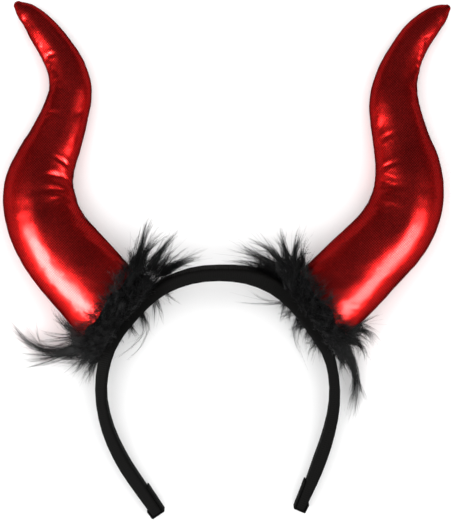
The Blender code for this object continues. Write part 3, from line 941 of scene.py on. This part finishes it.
def hair_tree():
    sizes = {
        "Root radius": "Float", "Wave": "Float", "Wave size": "Float", "Shortest": "Float",
        "Clearance": "Float", "Seed": "Int", "Around": "Object", "Finish": "Material",
    }
    nodes, given = new_geometry_tree("fur_hairs", sizes)

    def attribute(name, kind="FLOAT"):
        return nodes.node("GeometryNodeInputNamedAttribute", {"data_type": kind}, {"Name": name})

    def store(geometry, name, value, kind, domain):
        settings = {"data_type": kind, "domain": domain}
        inputs = {"Geometry": geometry, "Name": name, "Value": value}
        return nodes.node("GeometryNodeStoreNamedAttribute", settings, inputs)

    def scatter(kind, low, high, shift, output):
        index = nodes.node("GeometryNodeInputIndex")
        pair = {"FLOAT_VECTOR": (0, 1), "FLOAT": (2, 3)}[kind]
        inputs = {pair[0]: low, pair[1]: high, "ID": index, "Seed": given["Seed"] + shift}
        return nodes.node("FunctionNodeRandomValue", {"data_type": kind}, inputs, output=output)

    def vector(operation, *operands, output=0, **named):
        inputs = {**dict(enumerate(operands)), **named}
        return nodes.node("ShaderNodeVectorMath", {"operation": operation}, inputs, output=output)

    guides = nodes.node("GeometryNodeMeshToCurve", {}, {"Mesh": given["Geometry"]})
    inputs = {"Geometry": guides, "Amount": attribute("hairs")}
    many = nodes.node("GeometryNodeDuplicateElements", {"domain": "SPLINE"}, inputs)
    everywhere = ((-1.0, -1.0, -1.0), (1.0, 1.0, 1.0))
    many = store(many, "from_root", scatter("FLOAT_VECTOR", *everywhere, 1, 0), "FLOAT_VECTOR", "CURVE")
    many = store(many, "from_tip", scatter("FLOAT_VECTOR", *everywhere, 2, 0), "FLOAT_VECTOR", "CURVE")
    many = store(many, "tone", scatter("FLOAT", 0.0, 1.0, 3, 1), "FLOAT", "CURVE")
    length = scatter("FLOAT", given["Shortest"], 1.0, 4, 1)
    cut_short = nodes.node("GeometryNodeTrimCurve", {}, {0: many, 3: length})
    even = nodes.node("GeometryNodeResampleCurve", {}, {"Curve": cut_short, "Count": HAIR_STEPS})
    t = nodes.node("GeometryNodeSplineParameter")
    even = store(even, "along_hair", t, "FLOAT", "POINT")

    root_share = attribute("root_spread") * (1 - t)
    tip_share = attribute("tip_spread") * (t**TIP_BEND)
    at_root = vector("SCALE", attribute("from_root", "FLOAT_VECTOR"), Scale=root_share)
    at_tip = vector("SCALE", attribute("from_tip", "FLOAT_VECTOR"), Scale=tip_share)
    where = nodes.node("GeometryNodeInputPosition")
    own = vector("SCALE", attribute("from_tip", "FLOAT_VECTOR"), Scale=OWN_WAVE)
    inputs = {"Vector": vector("ADD", where, own), "Scale": given["Wave size"], "Detail": 1.0}
    swirl = nodes.node("ShaderNodeTexNoise", {}, inputs, output="Color")
    swirl = vector("SUBTRACT", swirl, (0.5, 0.5, 0.5))
    swirl = vector("SCALE", swirl, Scale=given["Wave"] * t)
    offset = vector("ADD", vector("ADD", at_root, at_tip), swirl)
    loose = nodes.node("GeometryNodeSetPosition", {}, {"Geometry": even, "Offset": offset})

    around = nodes.node("GeometryNodeObjectInfo", {}, {"Object": given["Around"]}, output="Geometry")
    inputs = {"Geometry": around, "Sample Position": where}
    near = nodes.node("GeometryNodeProximity", {"target_element": "FACES"}, inputs)
    inputs = {"Mesh": around, 1: nodes.node("GeometryNodeInputNormal"), "Sample Position": where}
    normal = nodes.node("GeometryNodeSampleNearestSurface", {"data_type": "FLOAT_VECTOR"}, inputs)
    depth = vector("DOT_PRODUCT", vector("SUBTRACT", where, near), normal, output="Value")
    lack = nodes.larger(given["Clearance"] - depth, 0.0)
    clear = vector("SCALE", normal, Scale=lack)
    pushed = nodes.node("GeometryNodeSetPosition", {}, {"Geometry": loose, "Offset": clear})
    height = nodes.node("ShaderNodeSeparateXYZ", {}, {0: where}, output="Z")
    under = nodes.larger(HAIR_FLOOR - height, 0.0)
    lift = nodes.node("ShaderNodeCombineXYZ", {}, {"Z": under})
    laid = nodes.node("GeometryNodeSetPosition", {}, {"Geometry": pushed, "Offset": lift})

    taper = given["Root radius"] * (1.0 - t * TAPER)
    thick = nodes.node("GeometryNodeSetCurveRadius", {}, {"Curve": laid, "Radius": taper})
    inputs = {"Resolution": HAIR_SIDES, "Radius": 1.0}
    profile = nodes.node("GeometryNodeCurvePrimitiveCircle", {"mode": "RADIUS"}, inputs)
    radius = nodes.node("GeometryNodeInputRadius")
    inputs = {"Curve": thick, "Profile Curve": profile, "Scale": radius, "Fill Caps": True}
    close_geometry_tree(nodes, nodes.node("GeometryNodeCurveToMesh", {}, inputs), given["Finish"])
    return nodes


# %% [markdown]
# The guides come from two places. The pile is a loop round the horn's base, in belts from the hoop up the
# horn, and leans outwards and up the horn. The tufts are the loose clumps that show against the floor: each
# is one row, with its root, the point that it bends towards, and its tip.

# %% Guides
GUIDE_POINTS = 8
Tuft = namedtuple("Tuft", "root bend tip hairs root_spread tip_spread")
TUFTS = {
    "left": (
        Tuft((-47, -3, 26), (-45, 10, 27), (-40, 23, 22), 130, 3.2, 1.8),
        Tuft((-46, -2, 24), (-42, 6, 25), (-33, 16, 22), 130, 3.2, 2.2),
        Tuft((-41, -4, 25), (-34, 4, 26), (-26, 17, 22), 130, 3.2, 1.8),
        Tuft((-38, -5, 22), (-31, 2, 23), (-24, 8, 20), 110, 3.0, 3.0),
        Tuft((-35, -6, 22), (-27, 0, 22), (-11, 5, 19), 90, 2.8, 2.2),
        Tuft((-34, -7, 20), (-25, -2, 20), (-16, 0, 18), 110, 2.6, 1.8),
        Tuft((-51, -2, 26), (-50, 7, 28), (-49, 14, 24), 16, 4.0, 3.0),
        Tuft((-46, -5, 24), (-46, 3, 25), (-44, 8, 23), 120, 4.0, 3.2),
        Tuft((-40, -6, 24), (-36, 1, 24), (-34, 5, 22), 110, 3.8, 3.0),
        Tuft((-34, -8, 22), (-28, -3, 22), (-25, 0, 20), 80, 3.0, 2.6),
        Tuft((-74, -42, 14), (-100, -56, 8), (-116, -32, 4), 150, 3.6, 2.0),
        Tuft((-74, -44, 12), (-92, -54, 6), (-110, -51, 3), 120, 3.4, 3.6),
        Tuft((-72, -46, 12), (-82, -54, 7), (-95, -50, 4), 130, 3.6, 3.2),
        Tuft((-70, -47, 12), (-76, -55, 8), (-83, -58, 5), 120, 3.4, 2.6),
        Tuft((-68, -48, 14), (-71, -56, 10), (-75, -63, 6), 130, 3.2, 2.0),
        Tuft((-75, -38, 22), (-84, -37, 22), (-89, -27, 16), 140, 3.4, 2.6),
        Tuft((-76, -40, 18), (-88, -42, 16), (-100, -38, 10), 40, 3.0, 3.0),
        Tuft((-40, -16, 3), (-37, -22, 5), (-36, -31, 7), 90, 2.2, 2.2),
        Tuft((-36, -12, 4), (-32, -18, 6), (-27, -21, 8), 60, 2.2, 2.0),
        Tuft((-49, -24, 2), (-44, -28, 4), (-43, -35, 5), 140, 2.6, 2.0),
        Tuft((-55, -31, 2), (-50, -33, 4), (-49, -40, 5), 120, 2.6, 2.0),
        Tuft((-60, -37, 2), (-55, -38, 4), (-56, -44, 5), 80, 2.2, 2.0),
        Tuft((-46, -24, 4), (-33, -36, 8), (-60, -56, 6), 14, 2.0, 1.6),
    ),
    "right": (
        Tuft((29, -5, 26), (25, 6, 28), (14, 12, 23), 160, 3.6, 2.2),
        Tuft((32, -4, 25), (29, 7, 27), (27, 14, 23), 150, 3.4, 2.2),
        Tuft((35, -3, 25), (34, 6, 26), (39, 17, 22), 120, 3.0, 1.4),
        Tuft((27, -6, 22), (18, 3, 25), (2, 8, 21), 120, 3.2, 2.4),
        Tuft((25, -8, 20), (15, -1, 21), (0, 1, 18), 120, 2.8, 1.8),
        Tuft((26, -8, 24), (17, 0, 24), (7, 4, 20), 110, 2.8, 2.6),
        Tuft((38, -2, 26), (38, 5, 27), (40, 9, 22), 80, 3.0, 2.4),
        Tuft((31, -6, 25), (29, 2, 26), (28, 7, 24), 120, 4.0, 3.0),
        Tuft((27, -8, 23), (21, -1, 24), (18, 4, 22), 120, 3.8, 3.0),
        Tuft((23, -10, 21), (15, -5, 21), (11, -1, 20), 80, 3.0, 2.4),
        Tuft((36, -25, 13), (31, -28, 13), (29, -31, 10), 60, 3.0, 2.6),
        Tuft((42, -31, 12), (37, -36, 12), (35, -40, 9), 90, 3.0, 2.8),
        Tuft((48, -40, 12), (43, -44, 12), (42, -49, 9), 80, 3.0, 2.8),
        Tuft((62, -36, 22), (73, -34, 22), (76, -43, 16), 140, 3.2, 2.2),
        Tuft((61, -40, 14), (72, -42, 12), (73, -52, 8), 140, 3.2, 2.2),
        Tuft((63, -34, 24), (70, -31, 25), (78, -33, 20), 60, 3.0, 3.4),
        Tuft((61, -45, 12), (72, -60, 7), (65, -84, 4), 170, 3.6, 1.6),
        Tuft((61, -46, 14), (67, -58, 10), (72, -74, 5), 90, 3.4, 2.2),
        Tuft((58, -46, 18), (60, -53, 16), (61, -59, 12), 120, 3.0, 2.4),
        Tuft((33, -18, 3), (28, -24, 5), (30, -31, 6), 90, 2.4, 2.4),
        Tuft((41, -26, 2), (35, -31, 4), (36, -38, 5), 150, 2.8, 2.2),
        Tuft((47, -33, 2), (41, -37, 4), (42, -44, 5), 150, 2.8, 2.2),
        Tuft((52, -40, 2), (47, -43, 4), (48, -51, 5), 120, 2.6, 2.0),
        Tuft((36, -20, 5), (20, -26, 8), (0, -19, 10), 18, 2.0, 3.4),
        Tuft((40, -26, 4), (28, -34, 6), (42, -62, 5), 16, 2.0, 2.0),
    ),
}
PILE_BELTS = 8
PILE_AROUND = 48
PILE_HAIRS = 21
PILE_LENGTH = (9.0, 14.0)
PILE_TIPS = (1.4, 2.4, 3.6)
PILE_ROOTS = 1.8
PILE_UNDER = 9
UNDER_FROM, UNDER_LENGTH = -0.5, 0.45
PILE_SAG = np.array([0, 0, 0.12])
ROOTS_SHORT = 4.0
COLLAR_REACH = {"left": (13.3, 4.4), "right": (15.5, -2.5)}
PROBE = 20.0
SKIN = 1.2
STRAND_HAIRS = 8
STRAY_HAIRS = 0.1
FULLNESS = 1.2
STRAND_LOOSE = 1.8
STRAND_SPREAD = (1.2, 0.35)
STRAY_LOOSE = 3
STRAY_SPREAD = (1.0, 0.1)
BASE_SHARES = (0.45, 0.7, 0.95)
BASE_CLUMPS, BASE_HAIRS, BASE_SPREAD = 12, 12, (1.6, 1.6)
LOWEST_GUIDE = (-999, -999, 0.8)


def hoop_gap(horn, angle):
    """How far the hoop lies beyond the horn's base on one side, in millimetres."""
    _, _, level = horn.frame_at(horn.path.length)
    start = horn.surface(horn.path.length - PROBE * MM, angle)
    return distance_to(hoop_tree, start, level, PROBE * MM) / MM - PROBE


for horn in horns.values():
    horn.gaps = hoop_gap(horn, 0.0), hoop_gap(horn, math.pi)
    print(horn.side, "the hoop is beyond the horn's base by", [round(gap, 1) for gap in horn.gaps], "mm")


def collar_span(horn, angle):
    """Where the fur starts at the hoop and ends up the horn, in millimetres from the horn's base."""
    mean, swing = COLLAR_REACH[horn.side]
    turn = math.cos(angle)
    right, left = horn.gaps
    return -(right * (1 + turn) + left * (1 - turn)) / 2, mean + swing * turn


def bent(root, bend, tip):
    """Points on a smooth arc from root to tip, drawn towards the bend."""
    root, bend, tip = (np.array(p, float) for p in (root, bend, tip))
    steps = np.linspace(0, 1, GUIDE_POINTS)[:, None]
    return (1 - steps) ** 2 * root + 2 * steps * (1 - steps) * bend + steps**2 * tip


def pile_guides(horn, seed):
    """Clumps all round the horn's base, from the hoop to the collar's upper edge."""
    rng = random.Random(seed)
    guides = []
    for belt in range(PILE_BELTS):
        share = belt / (PILE_BELTS - 1)
        for k in range(PILE_AROUND):
            angle = 2 * math.pi * (k + rng.uniform(-0.45, 0.45) + 0.5 * (belt % 2)) / PILE_AROUND
            low, high = collar_span(horn, angle)
            up_horn = low + 1 + share * (high - ROOTS_SHORT - low - 1) + rng.uniform(-1.3, 1.3)
            place = horn.path.length - up_horn * MM
            _, across, level = horn.frame_at(place)
            outward = across * math.cos(angle) + np.array([0, 0, math.sin(angle)])
            tangent = np.cross(level, outward)
            root = horn.surface(place, angle, SKIN * MM) / MM
            underneath = math.sin(angle) < UNDER_FROM
            length = rng.uniform(*PILE_LENGTH) * (1.0 - 0.2 * share) * (UNDER_LENGTH if underneath else 1.0)
            lean = -level * (rng.uniform(-0.15, 0.35) + 0.6 * share) + tangent * rng.uniform(-0.6, 0.6)
            lift = 0.55 - 0.25 * share
            bend = root + (lift * outward + 0.2 * lean) * length
            tip = root + (lift * outward + 0.95 * lean - PILE_SAG) * length
            hairs_here = PILE_UNDER if underneath else PILE_HAIRS
            guides.append((bent(root, bend, tip), hairs_here, PILE_ROOTS, rng.choice(PILE_TIPS)))
    return guides + base_guides(horn, rng)


def base_guides(horn, rng):
    """Short clumps on the end that faces the hoop, where it stands above the hoop."""
    _, across, level = horn.frame_at(horn.path.length)
    guides = []
    for share in BASE_SHARES:
        for k in range(BASE_CLUMPS):
            angle = math.pi * (k + rng.uniform(0.1, 0.9)) / BASE_CLUMPS
            root = horn.base_point(angle, share, 0.0) / MM
            rise = np.array([0, 0, rng.uniform(3.0, 6.0)])
            tip = root + rise + level * rng.uniform(0.5, 3.0) + across * rng.uniform(-3, 3)
            bend = root + level * 1.5 + rise * 0.3
            guides.append((bent(root, bend, tip), BASE_HAIRS, *BASE_SPREAD))
    return guides


def anywhere(rng):
    return np.array([rng.uniform(-1, 1) for _ in range(3)])


def tuft_guides(side, seed):
    """Each tuft as many thin strands of a few hairs, which end near its tip or short of it, with strays."""
    rng = random.Random(seed)
    guides = []
    for tuft in TUFTS[side]:
        start, bend, end = (np.array(p, float) for p in (tuft.root, tuft.bend, tuft.tip))
        count = max(2, round(tuft.hairs * FULLNESS / STRAND_HAIRS))
        for _ in range(count):
            root = start + anywhere(rng) * tuft.root_spread
            tip = start + (end - start) * rng.uniform(0.62, 1.08)
            tip = tip + anywhere(rng) * tuft.tip_spread * STRAND_LOOSE
            strand = bent(root, bend + anywhere(rng) * STRAND_LOOSE, tip)
            guides.append((strand, STRAND_HAIRS, *STRAND_SPREAD))
        for _ in range(round(tuft.hairs * STRAY_HAIRS)):
            tip = start + (end - start) * rng.uniform(0.7, 1.25) + anywhere(rng) * (2 + 2 * tuft.tip_spread)
            guides.append((bent(start, bend + anywhere(rng) * STRAY_LOOSE, tip), 1, *STRAY_SPREAD))
    return guides


def guide_mesh(name, guides):
    """Every guide as a chain of edges, which carries how many hairs it has and how far they spread."""
    verts, edges, carried = [], [], {"hairs": [], "root_spread": [], "tip_spread": []}
    for points, hairs, root_spread, tip_spread in guides:
        first = len(verts)
        verts += [tuple(np.maximum(p, LOWEST_GUIDE) * MM) for p in points]
        edges += [(first + k, first + k + 1) for k in range(len(points) - 1)]
        carried["hairs"] += [hairs] * len(points)
        carried["root_spread"] += [root_spread * MM] * len(points)
        carried["tip_spread"] += [tip_spread * MM] * len(points)
    mesh = bpy.data.meshes.new(name)
    mesh.from_pydata(verts, edges, [])
    for label, values in carried.items():
        mesh.attributes.new(label, "FLOAT", "POINT").data.foreach_set("value", values)
    return placed(name, mesh)


# %% [markdown]
# Each collar has a core of dense underfur: a cup round the horn's base, closed on the side that is sewn to
# the hoop, so that no red shows there. It fills the space of the solid's backing, and its upper edge is
# ragged and thins out, so that only hair is seen to end. Black fur isn't one black: a few hairs in every
# clump are greyer, and their colour is painted lighter towards the tips as a painted glint, while the
# underfur stays dull.

# %% Fur finishes
FUR_DARK = (0.0004, 0.0004, 0.0005)
FUR_GREY = (0.036, 0.036, 0.038)
UNDERFUR_GREY = (0.003, 0.003, 0.003)


def fur_finish():
    fur = Finish("collar_fur", {"Roughness": 0.36, "Specular IOR Level": 0.07})
    tone = fur.node("ShaderNodeAttribute", {"attribute_name": "tone"}, output="Fac")
    along = fur.node("ShaderNodeAttribute", {"attribute_name": "along_hair"}, output="Fac")
    clumps = fur.cloudy(260, detail=4, rough=0.7)
    # The greyer hairs are their own tone; lighter towards each tip is a painted glint.
    fur.give(Base_Color=fur.tint((tone**5) * (0.35 + 0.65 * along) * (0.3 + clumps), FUR_DARK, FUR_GREY))
    return fur.material


def underfur_finish():
    under = Finish("collar_underfur", {"Roughness": 0.8, "Specular IOR Level": 0.03})
    strands = under.cloudy(1500, detail=4, rough=0.75)
    under.give(Base_Color=under.tint(strands**3, FUR_DARK, UNDERFUR_GREY))
    under.relief(strands, 0.8, 0.5 * MM)
    return under.material


collar_fur = fur_finish()
collar_underfur = underfur_finish()

# %% [markdown]
# The cup is built as one tube: from the middle of its outer end, up the outer wall to the ragged edge, over
# it, and back down next to the horn. Noise roughens only the outside. It is seeded, because Blender's
# vector noise otherwise starts from the clock and every run would give another shape.

# %% Underfur
CORE_RINGS = 20
CORE_THICK = 2.4 * MM
CORE_SHORT = 6.0
CORE_RAGGED = 2.4
CORE_ROUGH = 0.8 * MM
CORE_SEED = 1
CAP_SHARES = (0.8, 0.55, 0.3, 0.08)
CORE_CLEAR, CORE_INSIDE, CORE_LOWEST = 0.2 * MM, 0.15 * MM, 0.2 * MM
CORE_LINING = 1.0 * MM


def core_ring(horn, share, extra):
    """One ring of the underfur's wall, from its ragged upper edge, at 0, to the hoop, at 1."""
    ring = []
    for angle in horn.angles:
        low, high = collar_span(horn, angle)
        ragged = CORE_RAGGED * noise.noise(Vector((2.5 * math.cos(angle), 2.5 * math.sin(angle), 5.0)))
        top = horn.path.length - (high - CORE_SHORT + ragged) * MM
        sewn = horn.base_point(angle, 1.0, CORE_CLEAR) - horn.surface(horn.end, angle)
        bottom = max(horn.path.length - (low + 0.5) * MM, horn.end + np.linalg.norm(sewn))
        ring.append(horn.surface(top + share * (bottom - top), angle, extra))
    return ring


def fur_core(horn):
    """The dense underfur: a roughened cup, with an outer wall and end and an inner one next to the horn."""
    outer = []
    for share in np.linspace(0, 1, CORE_RINGS):
        swell = min(1.0, 0.1 + 1.8 * share)
        outer.append(core_ring(horn, share, CORE_CLEAR + CORE_THICK * swell))
    centre = horn.base_point(0.0, 0.0, CORE_CLEAR)
    last = outer[-1]
    outer += [[centre + (point - centre) * share for point in last] for share in CAP_SHARES]
    inner = [core_ring(horn, share, CORE_INSIDE) for share in (0.0, 0.3)]
    inner += [[horn.base_point(a, share, CORE_LINING) for a in horn.angles] for share in (1.0, *CAP_SHARES)]
    noise.seed_set(CORE_SEED)
    verts = []
    for point in np.array(outer[::-1]).reshape(-1, 3):
        place = Vector(point)
        lumpy = place + noise.noise_vector(place * 300) * CORE_ROUGH
        lumpy.z = max(lumpy.z, CORE_LOWEST)
        verts.append(lumpy)
    verts += [Vector(point) for point in np.array(inner).reshape(-1, 3)]
    count = len(outer) + len(inner)
    faces = tube_faces(count, HORN_SIDES)
    faces += [tuple(range(HORN_SIDES)), tuple(range((count - 1) * HORN_SIDES, count * HORN_SIDES))]
    piece = new_piece(f"fur_{horn.side}_underfur", verts, faces, collar_underfur)
    face_outwards(piece)
    return piece


# %% [markdown]
# The same tree grows both kinds of hair. The loose tufts are a little finer and more even in length. The
# underfur stands for the solid of each collar.

# %% Growing the fur
HAIR = {
    "Root radius": 0.088 * MM, "Wave": 3.0 * MM, "Wave size": 110.0, "Shortest": 0.45,
    "Clearance": 0.35 * MM,
}
FINE = {"Root radius": 0.08 * MM, "Shortest": 0.7}
hairs = hair_tree()


def grow(name, guides, horn, seed, **changed):
    piece = guide_mesh(name, guides)
    values = {**HAIR, **changed, "Seed": seed, "Around": horn.piece, "Finish": collar_fur}
    run_geometry_tree(piece, hairs, values)
    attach(piece, "root")
    print(name, len(guides), "clumps,", triangles(piece), "triangles")
    return piece


for seed, horn in enumerate(horns.values(), start=1):
    core = fur_core(horn)
    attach(core, "root")
    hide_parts("fur_" + horn.side)
    grow(f"fur_{horn.side}_pile", pile_guides(horn, seed * 11), horn, seed * 3)
    grow(f"fur_{horn.side}_tufts", tuft_guides(horn.side, seed * 7), horn, seed * 5, **FINE)
